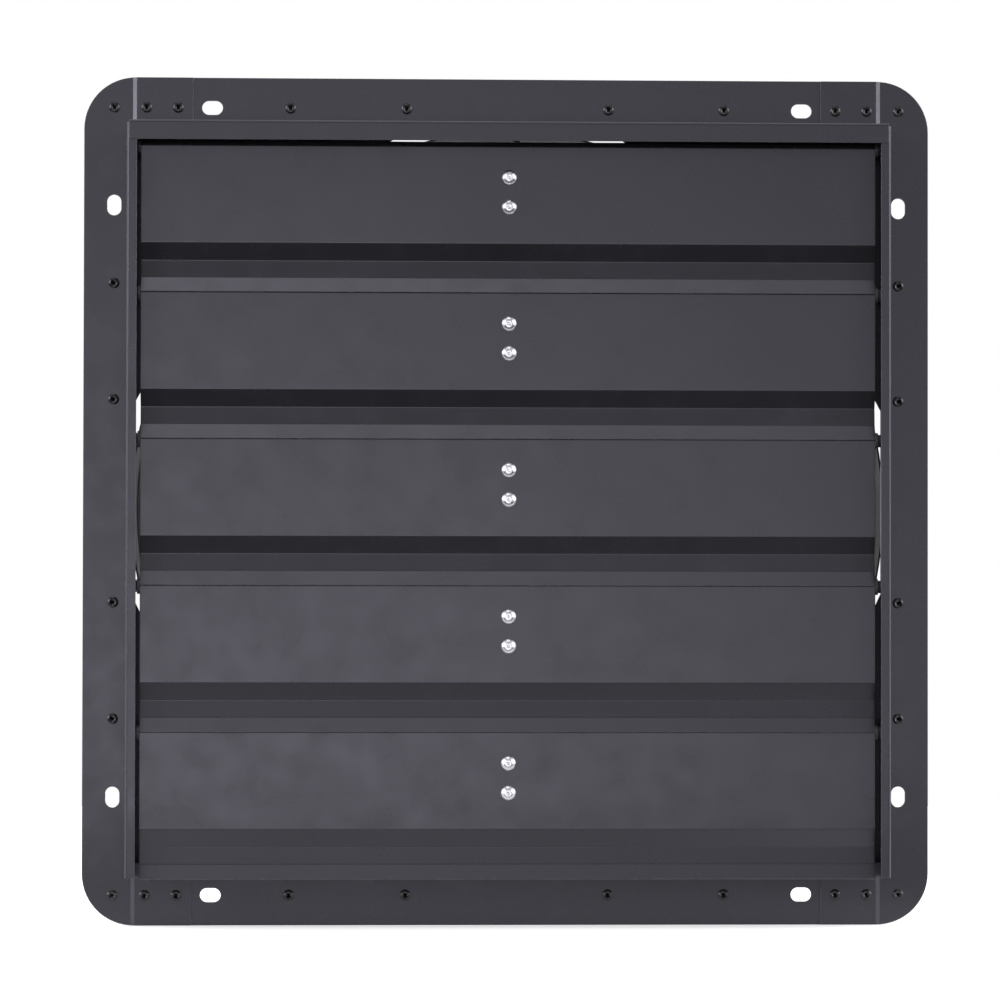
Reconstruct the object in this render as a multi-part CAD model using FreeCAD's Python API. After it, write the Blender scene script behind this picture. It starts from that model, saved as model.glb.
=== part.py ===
import FreeCAD, Part
import math
import os

# Shutter exhaust fan: a folded sheet frame with five linked louvres in front,
# a drum with a motor and a four-bladed rotor behind, and a wire guard at the rear.
# X is to the right, Y points from the shutters into the room, Z is up.
# The origin is the middle of the mounting flange, on the wall's face (y = 0).
# All sizes are in millimetres.

V = FreeCAD.Vector

# How far a cutter reaches past what it cuts, and where a rivet hole's cutter starts and how long it is
cut_margin = 1.0
hole_lead = 4.0
hole_run = 14.0

# Frame
flange_size = 510.0
flange_corner_radius = 31.0
frame_sheet = 1.0
gusset_sheet = 1.0
bend_radius = 0.6
side_flange_width = 28.0
end_flange_width = 30.0
box_depth = 45.0
side_lip = 6.0
top_lip = 11.6
bottom_lip = 9.0
bottom_lip_gap = 0.8
rail_end_gap = 0.5
tab_reach = 65.5
joggle_length = 2.6
rail_under_tab_gap = 1.0
fold_clearance = 1.0

# Fasteners through the flange
fastener_inset = 18.1
slot_length = 12.5
slot_width = 8.5
slot_inset = 49.0
tab_rivet_insets = (28.5, 9.5)
row_rivet_shares = (0.2392, 0.5137)
rivet_shank = 3.2
rivet_clearance = 0.1
rivet_head = 6.6
rivet_head_height = 1.2
rivet_recess = 3.8
rivet_bore = 2.0
rivet_bore_depth = 1.2
rivet_tail = 4.6
rivet_tail_length = 1.6

# Corner gussets
gusset_side_share = 0.212
gusset_top_share = 0.2255
gusset_inset = 1.0
gusset_arc_half_angle = 15.0
collar_depth = 12.0
collar_rivet_angle = 11.0

# Louvres
louvre_count = 5
louvre_row_allowance = 13.5
louvre_side_allowance = 15.5
louvre_sheet = 0.8
louvre_bend = 1.6
curl_diameter = 7.0
curl_opening = 40.0
top_pivot_drop = 14.1
pivot_depth = 28.0
foot_height = 30.0
step_height = 10.6
step_depth = 4.0
web_height = 10.3
web_rise = 1.0
lip_rise = 4.6
lip_gap = 0.4
open_angle = 70.0

# Proportions of heads: rivets by their head, bolts and screws by their diameter
rivet_brow_share = 0.35
rivet_shoulder = (0.76, 0.86)
bolt_across_share = 1.6
bolt_head_share = 0.7
nut_height_share = 0.8
screw_head_share = 1.9
screw_height_share = 0.6
cross_length_share = 0.9
cross_width_share = 0.22
screw_hole_clearance = 0.3

# Louvre pivots
plug_flange_diameter = 9.7
plug_flange_width = 1.7
plug_spigot_length = 18.0
plug_fit = 0.05
stub_diameter = 4.5
running_fit = 0.05
bush_hub_diameter = 7.5
bush_neck_diameter = 6.4
bush_collar_diameter = 7.4
bush_collar_width = 1.0
bush_axial_gap = 0.35

# Linkage behind the louvres
bracket_sheet = 1.2
bracket_width = 11.0
bracket_end = 6.2
link_radius = 22.0
link_angle = 15.0
link_boss_radius = 4.5
link_pin_diameter = 3.0
link_pin_fit = 0.06
link_side_gap = 0.3
link_head_diameter = 5.4
link_head_width = 0.9
tie_bar_width = 10.0
tie_bar_sheet = 1.5
tie_bar_overhang = 5.0
louvre_rivet_shares = (0.314, 0.623)
louvre_rivet_head = 9.0
louvre_rivet_head_height = 2.3
louvre_rivet_shank = 4.0
louvre_rivet_tail = 6.0
louvre_rivet_tail_length = 1.4

# Drum
drum_shift_right = 0.8
drum_drop = 4.1
drum_margin = 27.7
drum_sheet = 1.0
drum_length = 100.0
drum_front_gap = 0.2
bead_start = 50.0
bead_width = 20.0
bead_height = 3.0
bead_bend = 4.0
bead_slope_share = 1.2
rear_flange_width = 12.0
rear_flange_bend = 2.0

# Rotor
blade_count = 4
tip_gap = 9.0
blade_root = 46.0
blade_sheet = 1.5
blade_curve = 220.0
blade_middle = 51.0
root_chord = 86.0
tip_chord = 150.0
root_pitch = 38.0
tip_pitch = 22.0
arm_sheet = 2.5
arm_chord = 34.0
arm_reach = 104.0
arm_gap = 0.1
hub_diameter = 44.0
hub_length = 30.0
blade_rivet_offsets = (62.0, 90.0)
blade_rivet_spread = 9.0
blade_rivet_shank = 4.0
blade_rivet_head = 7.5
blade_rivet_head_height = 1.6
shaft_diameter = 12.0
shaft_fit = 0.02
set_screw_diameter = 6.0
set_screw_inset = 4.5
set_screw_recess = 1.0
socket_depth = 4.0
socket_across = 3.4
arm_root = 8.0
hub_front_stub = 3.0

# Motor
motor_front = 92.0
motor_length = 80.0
motor_diameter = 124.0
shell_sheet = 1.6
bell_depth = 18.0
bell_wall = 3.0
bell_face = 4.0
bell_shoulder = (4.0, 12.0)
bell_dome = 14.0
bell_hollow_depth = 12.5
bell_hollow_dome = 15.0
bell_fillet = 6.2
bearing_boss = 5.0
bearing_lip = 4.0
vent_count = 12
vent_circle_radius = 34.0
vent_diameter = 10.0
ear_count = 4
ear_neck = 5.0
spacer_inset = 0.5
bolt_tail_share = 1.3
ear_radius = 7.5
ear_thickness = 8.0
ear_circle_radius = 69.0
bolt_diameter = 5.0
bolt_clearance = 0.4
bearing_outer = 32.0
bearing_width = 10.0
bearing_race = 3.2
shield_inset = 0.6
slot_count = 18
slot_depth = 14.0
slot_opening = 5.0
slot_lead_in = 1.0
coil_inset = 2.0
coil_width = 13.0
coil_shoulder_share = 0.6
shaft_chamfer = 1.0
stator_length = 36.0
stator_bore = 68.0
winding_length = 9.0
air_gap = 0.5
rear_shaft_stub = 2.0

# Guard
guard_wire = 3.2
guard_rib = 5.0
guard_rib_count = 8
guard_ring_pitch = 18.0
guard_plate_radius = 82.0
guard_plate_bore = 34.0
guard_plate_sheet = 2.0
guard_spacer = 8.0
guard_weld = 0.6
guard_tab_width = 11.0
guard_tab_length = 20.0
guard_tab_overhang = 6.0
guard_tab_sheet = 2.0
guard_screw = 4.0

# Terminal box on the motor
terminal_width = 52.0
terminal_length = 46.0
terminal_height = 28.0
terminal_wall = 2.2
terminal_lid = 2.0
terminal_saddle = 6.0
post_radius = 4.0
post_height = 14.0
post_hole_depth = 10.0
cover_screw = 3.0
cover_screw_length = 11.0
cover_screw_inset = 5.0
cover_screw_clearance = 0.2
lid_corner = 2.0
gland_diameter = 16.0
gland_length = 12.0
gland_bore = 7.0
gland_wall = 3.0
gland_nut = 4.0
gland_step = 1.2
gland_nose = 3.0
gland_lip = 1.0
gland_drop = 2.0
capacitor_diameter = 15.0
capacitor_length = 32.0
capacitor_shift = 8.0
capacitor_chamfer = 1.0

# Planes and places worked out from the sizes above
half_flange = flange_size / 2
half_width = half_flange - side_flange_width
half_height = half_flange - end_flange_width
flange_rear = -gusset_sheet
flange_front = flange_rear - frame_sheet
tab_front = flange_front - frame_sheet
fastener_line = half_flange - fastener_inset
rail_half_length = half_width - frame_sheet - rail_end_gap
joggle_start = half_width - frame_sheet - rail_end_gap / 2
tab_start = joggle_start - joggle_length
pivot_y = -pivot_depth
curl_radius = curl_diameter / 2
louvre_pitch = (2 * half_height - louvre_row_allowance) / louvre_count
louvre_half_length = half_width - louvre_side_allowance / 2
flat_height = louvre_pitch - foot_height
top_pivot_height = half_height - top_pivot_drop
louvre_rivet_drops = [share * flat_height for share in louvre_rivet_shares]
bracket_top = louvre_rivet_drops[0] - bracket_end
bracket_bottom = louvre_rivet_drops[1] + bracket_end
web_inner = half_width - frame_sheet
louvre_top_front = pivot_y - curl_radius
slot_offset = half_width - slot_inset
tab_rivet_offsets = [half_width - inset for inset in tab_rivet_insets]
row_rivet_offsets = [share * half_flange for share in row_rivet_shares]
gusset_side_offset = gusset_side_share * half_flange
gusset_top_offset = gusset_top_share * half_flange
drum_radius = half_flange - drum_margin
drum_inner = drum_radius - drum_sheet
drum_front = flange_rear + drum_front_gap
drum_rear = drum_front + drum_length
motor_rear = motor_front + motor_length
motor_radius = motor_diameter / 2
shell_front = motor_front + bell_depth
shell_rear = motor_rear - bell_depth
plate_front = motor_rear + guard_spacer
plate_rear = plate_front + guard_plate_sheet
axis_point = V(drum_shift_right, 0, -drum_drop)
motor_middle = (motor_front + motor_rear) / 2
ear_front = motor_front + bell_depth - ear_thickness
ear_rear = motor_rear - bell_depth + ear_thickness
bearing_seat = bearing_width + bell_face
bolt_angles = [360 / ear_count * (k + 0.5) for k in range(ear_count)]
bolt_hole_radius = (bolt_diameter + bolt_clearance) / 2
set_screw_height = blade_middle + hub_length / 2 - set_screw_inset


def pivot_height(index):
    """Height of the pivot of louvre number index, counted from 0 at the top."""
    return top_pivot_height - index * louvre_pitch


# Shapes that are used more than once
def block(x, y, z):
    """A box between two limits along each axis."""
    return Part.makeBox(x[1] - x[0], y[1] - y[0], z[1] - z[0], V(x[0], y[0], z[0]))


def rod(radius, start, direction, length):
    """A plain round bar."""
    return Part.makeCylinder(radius, length, start, direction)


def tube(outer, inner, start, direction, length):
    """A round tube."""
    return rod(outer, start, direction, length).cut(rod(inner, start, direction, length))


def joined(shapes):
    """One solid from overlapping or touching solids."""
    whole = shapes[0].multiFuse(shapes[1:]) if len(shapes) > 1 else shapes[0]
    return whole.removeSplitter()


def without(shape, cutters):
    """The shape with holes or other spaces cut from it."""
    return shape.cut(Part.makeCompound(cutters))


def mirrored_x(shape):
    """The same piece for the other side, left or right."""
    return shape.mirror(V(0, 0, 0), V(1, 0, 0))


def rounded_path(points, radius):
    """Straight runs and tangent arcs through points, as segments for strip()."""
    segments = []
    start = points[0]
    for corner, after in zip(points[1:-1], points[2:]):
        into = (corner[0] - start[0], corner[1] - start[1])
        out = (after[0] - corner[0], after[1] - corner[1])
        angle_in = math.atan2(into[1], into[0])
        angle_out = math.atan2(out[1], out[0])
        turn = (angle_out - angle_in + math.pi) % (2 * math.pi) - math.pi
        setback = radius * math.tan(abs(turn) / 2)
        side = 1 if turn > 0 else -1
        arc_start = (corner[0] - setback * math.cos(angle_in), corner[1] - setback * math.sin(angle_in))
        arc_end = (corner[0] + setback * math.cos(angle_out), corner[1] + setback * math.sin(angle_out))
        centre = (arc_start[0] - side * radius * math.sin(angle_in),
                  arc_start[1] + side * radius * math.cos(angle_in))
        first = angle_in - side * math.pi / 2
        segments.append(("line", start, arc_start))
        segments.append(("arc", centre, radius, first, first + turn))
        start = arc_end
    segments.append(("line", start, points[-1]))
    return segments


def strip(segments, thickness, place):
    """The face of a bent sheet: its middle line, given a thickness, put in space by place."""
    def side_edges(side):
        edges = []
        for segment in segments:
            if segment[0] == "line":
                (ax, ay), (bx, by) = segment[1], segment[2]
                length = math.hypot(bx - ax, by - ay)
                shift = side * thickness / 2 / length
                off = (-(by - ay) * shift, (bx - ax) * shift)
                ends = place(ax + off[0], ay + off[1]), place(bx + off[0], by + off[1])
                edges.append((ends[0], None, ends[1]))
            else:
                _, centre, radius, first, last = segment
                reach = radius - side * math.copysign(thickness / 2, last - first)
                marks = (first, (first + last) / 2, last)
                edges.append(tuple(place(centre[0] + reach * math.cos(a), centre[1] + reach * math.sin(a))
                                   for a in marks))
        return edges

    left = side_edges(1)
    right = [(end, middle, start) for start, middle, end in reversed(side_edges(-1))]
    loop = left + [(left[-1][2], None, right[0][0])] + right + [(right[-1][2], None, left[0][0])]
    edges = [Part.LineSegment(a, c).toShape() if b is None else Part.Arc(a, b, c).toShape()
             for a, b, c in loop]
    return Part.Face(Part.Wire(edges))


def turned(profile, start, direction):
    """A turned piece. The profile lists (radius, distance) corners along the axis.

    A corner with four numbers is the middle and the end of an arc from the corner before it.
    """
    direction = V(direction).normalize()
    across = V(0, 0, 1) if abs(direction.z) < 0.9 else V(1, 0, 0)
    across = (across - direction * across.dot(direction)).normalize()

    def place(radius, distance):
        return start + across * radius + direction * distance

    edges = []
    last = place(*profile[0])
    for corner in list(profile[1:]) + [profile[0]]:
        end = place(*corner[-2:])
        if len(corner) == 4:
            edges.append(Part.Arc(last, place(*corner[:2]), end).toShape())
        elif (end - last).Length > 1e-6:
            edges.append(Part.LineSegment(last, end).toShape())
        last = end
    return Part.Face(Part.Wire(edges)).revolve(start, direction, 360)


def rivet(start, direction, grip, head, head_height, shank, tail, tail_length, hollow=False):
    """A domed rivet: start is on the sheet under the head, and direction points into the sheets.

    A hollow one is a blind rivet, with the dished head and the bore that its mandrel leaves.
    """
    brow = head_height * rivet_brow_share
    mid_radius = head / 2 * rivet_shoulder[0]
    mid_height = head_height * rivet_shoulder[1]
    crown = head_height
    if hollow:
        profile = [(0, rivet_bore_depth), (rivet_bore / 2, rivet_bore_depth), (rivet_bore / 2, -crown * 0.4),
                   (rivet_recess / 2, -crown * 0.96)]
    else:
        profile = [(0, -crown)]
    profile += [(mid_radius, -mid_height, head / 2, -brow), (head / 2, 0), (shank / 2, 0),
                (shank / 2, grip), (tail / 2, grip), (tail / 2, grip + tail_length * 0.7),
                (tail / 4, grip + tail_length), (0, grip + tail_length)]
    return turned(profile, start, direction)


def bolt(start, direction, length, diameter, nut=False):
    """A hexagon bolt, or a nut and washer when nut is true. Start is on the seat under the head."""
    across = diameter * bolt_across_share
    height = diameter * (nut_height_share if nut else bolt_head_share)
    direction = V(direction).normalize()
    side = V(0, 0, 1) if abs(direction.z) < 0.9 else V(1, 0, 0)
    other = direction.cross(side).normalize()
    reach = across / math.sqrt(3)
    corners = [start + side * (reach * math.cos(a)) + other * (reach * math.sin(a))
               for a in [math.radians(60 * k) for k in range(7)]]
    head = Part.Face(Part.makePolygon(corners)).extrude(direction * -height)
    if nut:
        return head.cut(rod(diameter / 2, start - direction * (height + cut_margin), direction,
                            height + 2 * cut_margin))
    return joined([head, rod(diameter / 2, start - direction * 0.1, direction, length + 0.1)])


def screw(start, direction, length, diameter):
    """A pan-head screw with a cross recess. Start is on the seat under the head."""
    head = diameter * screw_head_share
    height = diameter * screw_height_share
    cross = diameter * cross_length_share
    width = diameter * cross_width_share
    shape = turned([(0, -height), (head * 0.36, -height * 0.9, head / 2, -height * 0.25), (head / 2, 0),
                    (diameter / 2, 0), (diameter / 2, length), (0, length)], start, direction)
    direction = V(direction).normalize()
    side = V(0, 0, 1) if abs(direction.z) < 0.9 else V(1, 0, 0)
    slot = Part.makeBox(cross, width, height * 0.6, V(-cross / 2, -width / 2, -height * 0.3))
    for spin in (0, 90):
        cutter = slot.copy()
        cutter.rotate(V(0, 0, 0), V(0, 0, 1), spin)
        turn = FreeCAD.Rotation(V(0, 0, 1), direction)
        cutter.Placement = FreeCAD.Placement(start - direction * height, turn).multiply(cutter.Placement)
        shape = shape.cut(cutter)
    return shape


# Flange outline and fastener holes
def flange_outline(inset, y):
    """A block of the flange's rounded square, between two depths."""
    reach = half_flange - inset
    plate = block((-reach, reach), y, (-reach, reach))
    edges = [edge for edge in plate.Edges
             if abs(edge.tangentAt(edge.FirstParameter).y) > 0.9]
    return plate.makeFillet(flange_corner_radius - inset, edges)


def slot_cutters():
    """The eight slots: two in each side of the flange."""
    cutters = []
    run = (slot_length - slot_width) / 2
    for across in (-1, 1):
        for along in (-1, 1):
            middle = V(along * slot_offset, tab_front - cut_margin, across * fastener_line)
            upright = V(across * fastener_line, tab_front - cut_margin, along * slot_offset)
            for centre, step in ((middle, V(run, 0, 0)), (upright, V(0, 0, run))):
                depth = 2 * cut_margin - tab_front
                ends = [rod(slot_width / 2, centre + step * side, V(0, 1, 0), depth) for side in (-1, 1)]
                width = V(abs(step.x) + abs(step.z) * slot_width / 2 / run, 0,
                          abs(step.z) + abs(step.x) * slot_width / 2 / run)
                bar = block((centre.x - width.x, centre.x + width.x), (centre.y, centre.y + depth),
                            (centre.z - width.z, centre.z + width.z))
                cutters.append(joined(ends + [bar]))
    return cutters


def flange_rivet_places():
    """The rivets through the flange: (x, z, depth of the face under the head)."""
    places = []
    for across in (-1, 1):
        for along in (-1, 1):
            places.append((along * fastener_line, across * fastener_line, flange_front))
            for offset in tab_rivet_offsets:
                places.append((along * offset, across * fastener_line, tab_front))
            for offset in row_rivet_offsets:
                places.append((along * offset, across * fastener_line, flange_front))
                places.append((across * fastener_line, along * offset, flange_front))
    return places


def rivet_hole_cutters():
    """Holes for the flange rivets."""
    radius = (rivet_shank + rivet_clearance) / 2
    front = tab_front - cut_margin
    depth = 2 * cut_margin - tab_front
    return [rod(radius, V(x, front, z), V(0, 1, 0), depth) for x, z, _ in flange_rivet_places()]


flange_holes = slot_cutters() + rivet_hole_cutters()


# Frame rails
def side_rail(side):
    """The right (1) or left (-1) rail: flange, web and lip from one sheet, with a tab at each end."""
    middle = (flange_front + flange_rear) / 2
    web_middle = half_width - frame_sheet / 2
    lip_middle = -box_depth + frame_sheet / 2
    raised = middle - frame_sheet
    centre_bend = bend_radius + frame_sheet / 2
    reach = half_height - frame_sheet - rail_end_gap

    section = rounded_path([(half_flange, middle), (web_middle, middle), (web_middle, lip_middle),
                            (half_width - side_lip, lip_middle)], centre_bend)
    pieces = [strip(section, frame_sheet, lambda u, v: V(u, v, -reach)).extrude(V(0, 0, 2 * reach))]
    tab_section = rounded_path([(half_width + frame_sheet, middle), (joggle_start, middle),
                                (tab_start, raised), (half_flange - tab_reach, raised)], centre_bend)
    for end in (-1, 1):
        low, high = sorted((end * (reach - cut_margin), end * half_flange))
        pieces.append(block((half_width, half_flange), (flange_front, flange_rear), (low, high)))
        tab_low = half_height + fold_clearance
        low, high = sorted((end * tab_low, end * half_flange))
        tab = strip(tab_section, frame_sheet, lambda u, v, z=low: V(u, v, z))
        pieces.append(tab.extrude(V(0, 0, high - low)))
    rail = joined(pieces).common(flange_outline(0, (-box_depth - cut_margin, cut_margin)))
    rail = without(rail, flange_holes + pivot_hole_cutters())
    return rail if side > 0 else mirrored_x(rail)


def pivot_hole_cutters():
    """Holes in a right-hand web for the pivot bushes."""
    radius = bush_neck_diameter / 2 + plug_fit
    start = web_inner - cut_margin
    return [rod(radius, V(start, pivot_y, pivot_height(k)), V(1, 0, 0), frame_sheet + 2 * cut_margin)
            for k in range(louvre_count)]


def cross_rail(points, half_length):
    """A rail along X, folded from one sheet through points in the YZ plane."""
    section = rounded_path(points, bend_radius + frame_sheet / 2)
    return strip(section, frame_sheet, lambda u, v: V(-half_length, u, v)).extrude(V(2 * half_length, 0, 0))


def trimmed_flange(rail, side):
    """The rail with its flange ends cut back so that they pass under the tabs."""
    flange_half = tab_start - rail_under_tab_gap
    low, high = sorted((side * (half_height + bend_radius), side * (half_flange + cut_margin)))
    depth = (flange_front - cut_margin, flange_rear + cut_margin)
    ends = [block((min(a, b), max(a, b)), depth, (low, high))
            for a, b in ((flange_half, half_width), (-flange_half, -half_width))]
    return without(rail, ends + flange_holes)


def top_rail():
    """Flange, web and the front lip that hides the top of the first louvre."""
    middle = (flange_front + flange_rear) / 2
    web_middle = half_height - frame_sheet / 2
    lip_middle = -box_depth - frame_sheet / 2
    points = [(middle, half_flange), (middle, web_middle), (lip_middle, web_middle),
              (lip_middle, half_height - top_lip)]
    return trimmed_flange(cross_rail(points, rail_half_length), 1)


def bottom_rail():
    """Flange, web and the upturned lip behind the last louvre's edge."""
    middle = (flange_front + flange_rear) / 2
    web_middle = -half_height + frame_sheet / 2
    louvre_back = louvre_top_front + step_depth - web_rise + louvre_sheet
    lip_middle = louvre_back + bottom_lip_gap + frame_sheet / 2
    points = [(middle, -half_flange), (middle, web_middle), (lip_middle, web_middle),
              (lip_middle, -half_height + bottom_lip)]
    return trimmed_flange(cross_rail(points, rail_half_length), -1)


def flange_rivets():
    """Black domed blind rivets that hold the rails and gussets together."""
    return Part.makeCompound([
        rivet(V(x, seat, z), V(0, 1, 0), -seat, rivet_head, rivet_head_height, rivet_shank,
              rivet_tail, rivet_tail_length, hollow=True)
        for x, z, seat in flange_rivet_places()])


# Corner gussets
def on_drum(radius, degrees, y=0.0):
    """A point at a radius and angle about the drum's axis."""
    angle = math.radians(degrees)
    return V(axis_point.x + radius * math.cos(angle), y, axis_point.z + radius * math.sin(angle))


def corner_gusset(right, up):
    """A plate behind one corner of the flange, with a collar bent round the drum."""
    diagonal = math.degrees(math.atan2(up, right))
    spread = gusset_arc_half_angle if right * up > 0 else -gusset_arc_half_angle
    first = on_drum(drum_radius, diagonal - spread)
    last = on_drum(drum_radius, diagonal + spread)
    reach = half_flange
    corners = [V(right * half_width, 0, up * gusset_side_offset),
               V(right * reach, 0, up * gusset_side_offset),
               V(right * reach, 0, up * reach), V(right * gusset_top_offset, 0, up * reach),
               V(right * gusset_top_offset, 0, up * half_height)]
    edges = [Part.LineSegment(a, b).toShape() for a, b in zip(corners, corners[1:])]
    edges.append(Part.LineSegment(corners[-1], last).toShape())
    edges.append(Part.Arc(last, on_drum(drum_radius, diagonal), first).toShape())
    edges.append(Part.LineSegment(first, corners[0]).toShape())
    plate = Part.Face(Part.Wire(edges)).extrude(V(0, -gusset_sheet, 0))
    plate = plate.common(flange_outline(gusset_inset, (-gusset_sheet - 1, 1)))
    plate = plate.cut(rod(drum_radius, axis_point - V(0, gusset_sheet + 1, 0), V(0, 1, 0), gusset_sheet + 2))

    ring = tube(drum_radius + gusset_sheet, drum_radius, V(axis_point.x, -gusset_sheet, axis_point.z),
                V(0, 1, 0), gusset_sheet + collar_depth)
    far = drum_radius * 1.5
    wedge = Part.makePolygon([axis_point, on_drum(far, diagonal - spread), on_drum(far, diagonal + spread),
                              axis_point])
    wedge = Part.Face(wedge).extrude(V(0, collar_depth + 2 * cut_margin, 0))
    wedge.translate(V(0, -gusset_sheet - cut_margin, 0))
    gusset = joined([plate, ring.common(wedge)])
    return without(gusset, flange_holes + drum_rivet_cutters())


def drum_rivet_angles():
    """Three rivets in the middle of each gusset's collar."""
    return [quarter + step for quarter in (45, 135, 225, 315)
            for step in (-collar_rivet_angle, 0, collar_rivet_angle)]


def inward(degrees):
    """The direction from the drum's wall to its axis."""
    angle = math.radians(degrees)
    return V(-math.cos(angle), 0, -math.sin(angle))


def drum_rivet_cutters():
    """Holes for the rivets between the collars and the drum."""
    radius = (rivet_shank + rivet_clearance) / 2
    return [rod(radius, on_drum(drum_radius + hole_lead, a, collar_depth / 2), inward(a), hole_run)
            for a in drum_rivet_angles()]


def drum_rivets():
    """Rivets through the gusset collars and the drum, heads outside."""
    return Part.makeCompound([
        rivet(on_drum(drum_radius + gusset_sheet, a, collar_depth / 2), inward(a), drum_sheet + gusset_sheet,
              rivet_head, rivet_head_height, rivet_shank, rivet_tail, rivet_tail_length, hollow=True)
        for a in drum_rivet_angles()])


# Drum
def drum():
    """A rolled hoop with one stiffening bead, turned inwards at the rear to carry the guard."""
    wall = drum_radius - drum_sheet / 2
    rear = drum_rear - drum_sheet / 2
    slope = bead_height * bead_slope_share
    bead_end = bead_start + bead_width
    points = [(wall, drum_front), (wall, bead_start), (wall + bead_height, bead_start + slope),
              (wall + bead_height, bead_end - slope), (wall, bead_end), (wall, rear),
              (drum_radius - rear_flange_width, rear)]
    front_part = rounded_path(points[:6], bead_bend)
    back_part = rounded_path([front_part[-1][1]] + points[5:], rear_flange_bend + drum_sheet / 2)
    face = strip(front_part[:-1] + back_part, drum_sheet,
                 lambda u, v: V(axis_point.x + u, v, axis_point.z))
    hoop = face.revolve(axis_point, V(0, 1, 0), 360)
    return without(hoop, drum_rivet_cutters() + guard_screw_cutters())


# Louvres
lip_z = -(louvre_pitch - lip_gap)


def louvre(index):
    """One shutter blade: a curled top edge on the pivots, a flat, a step and a drip lip."""
    middle = louvre_sheet / 2
    curl_middle = curl_radius - middle
    flat_y = -curl_middle
    path = [(flat_y, 0), (flat_y, -flat_height), (flat_y + step_depth, -flat_height - step_height),
            (flat_y + step_depth - web_rise, -flat_height - step_height - web_height),
            (flat_y + step_depth - web_rise - lip_rise, lip_z)]
    first = math.radians(-180 + curl_opening)
    curl = [("arc", (0, 0), curl_middle, first, math.pi)]
    face = strip(curl + rounded_path(path, louvre_bend), louvre_sheet,
                 lambda u, v: V(-louvre_half_length, pivot_y + u, pivot_height(index) + v))
    blade = face.extrude(V(2 * louvre_half_length, 0, 0))
    return without(blade, louvre_rivet_cutters(index))


def louvre_rivet_cutters(index):
    """Holes for the two rivets that hold the link bracket."""
    radius = (louvre_rivet_shank + rivet_clearance) / 2
    return [rod(radius, V(0, louvre_top_front - hole_lead, pivot_height(index) - drop), V(0, 1, 0), hole_run)
            for drop in louvre_rivet_drops]


def louvre_rivets(index):
    """Bright domed rivets in the middle of a louvre."""
    grip = louvre_sheet + bracket_sheet
    return Part.makeCompound([
        rivet(V(0, louvre_top_front, pivot_height(index) - drop), V(0, 1, 0), grip, louvre_rivet_head,
              louvre_rivet_head_height, louvre_rivet_shank, louvre_rivet_tail, louvre_rivet_tail_length)
        for drop in louvre_rivet_drops])


def end_plugs(index):
    """Flanged pins pressed into both ends of a louvre's curl."""
    spigot = curl_radius - louvre_sheet - plug_fit
    stub_end = half_width + bush_collar_width / 2
    profile = [(0, -plug_spigot_length), (spigot, -plug_spigot_length), (spigot, 0),
               (plug_flange_diameter / 2, 0), (plug_flange_diameter / 2, plug_flange_width),
               (stub_diameter / 2, plug_flange_width), (stub_diameter / 2, stub_end - louvre_half_length),
               (0, stub_end - louvre_half_length)]
    height = pivot_height(index)
    return Part.makeCompound([turned(profile, V(side * louvre_half_length, pivot_y, height), V(side, 0, 0))
                              for side in (-1, 1)])


def pivot_bushes():
    """Plastic bushes snapped into the side rails' webs."""
    bore = stub_diameter / 2 + running_fit
    hub_start = louvre_half_length + plug_flange_width + bush_axial_gap
    collar_end = half_width + bush_collar_width
    profile = [(bore, hub_start), (bush_hub_diameter / 2, hub_start), (bush_hub_diameter / 2, web_inner),
               (bush_neck_diameter / 2, web_inner), (bush_neck_diameter / 2, half_width),
               (bush_collar_diameter / 2, half_width), (bush_neck_diameter / 2, collar_end),
               (bore, collar_end)]
    return Part.makeCompound([turned(profile, V(0, pivot_y, pivot_height(k)), V(side, 0, 0))
                              for side in (-1, 1) for k in range(louvre_count)])


# Linkage
link_y = link_radius * math.cos(math.radians(link_angle))
link_z = link_radius * math.sin(math.radians(link_angle))
ear_outer = bracket_width / 2
ear_inner = ear_outer - bracket_sheet
bar_start = ear_outer + link_side_gap
bar_end = bar_start + tie_bar_sheet


def link_bracket(index):
    """A small angle: its base is riveted behind the louvre, and its ear holds the tie bar's pin."""
    height = pivot_height(index)
    base_front = louvre_top_front + louvre_sheet
    base = block((-ear_outer, ear_outer), (base_front, base_front + bracket_sheet),
                 (height - bracket_bottom, height - bracket_top))
    pin = V(ear_inner, pivot_y + link_y, height + link_z)
    top = V(ear_inner, base_front, height - bracket_top)
    bottom = V(ear_inner, base_front, height - bracket_bottom)

    def tangent_point(corner, side):
        gap = pin - corner
        swing = math.acos(link_boss_radius / gap.Length)
        angle = math.atan2(-gap.z, -gap.y) + side * swing
        return pin + V(0, link_boss_radius * math.cos(angle), link_boss_radius * math.sin(angle))

    upper = tangent_point(top, -1)
    lower = tangent_point(bottom, 1)
    out = (pin - (top + bottom) * 0.5).normalize()
    edges = [Part.LineSegment(bottom, top).toShape(), Part.LineSegment(top, upper).toShape(),
             Part.Arc(upper, pin + out * link_boss_radius, lower).toShape(),
             Part.LineSegment(lower, bottom).toShape()]
    ear = Part.Face(Part.Wire(edges)).extrude(V(bracket_sheet, 0, 0))
    hole = rod(link_pin_diameter / 2 + link_pin_fit, pin - V(cut_margin, 0, 0), V(1, 0, 0),
               bracket_sheet + 2 * cut_margin)
    return without(joined([base, ear]), [hole] + louvre_rivet_cutters(index))


def tie_bar():
    """A flat bar that links the five louvres, so that they open together."""
    top = pivot_height(0) + link_z + tie_bar_overhang
    bottom = pivot_height(louvre_count - 1) + link_z - tie_bar_overhang
    middle = pivot_y + link_y
    bar = block((bar_start, bar_end), (middle - tie_bar_width / 2, middle + tie_bar_width / 2), (bottom, top))
    holes = [rod(link_pin_diameter / 2, V(bar_start - cut_margin, middle, pivot_height(k) + link_z),
                 V(1, 0, 0), tie_bar_sheet + 2 * cut_margin) for k in range(louvre_count)]
    return without(bar, holes)


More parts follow.
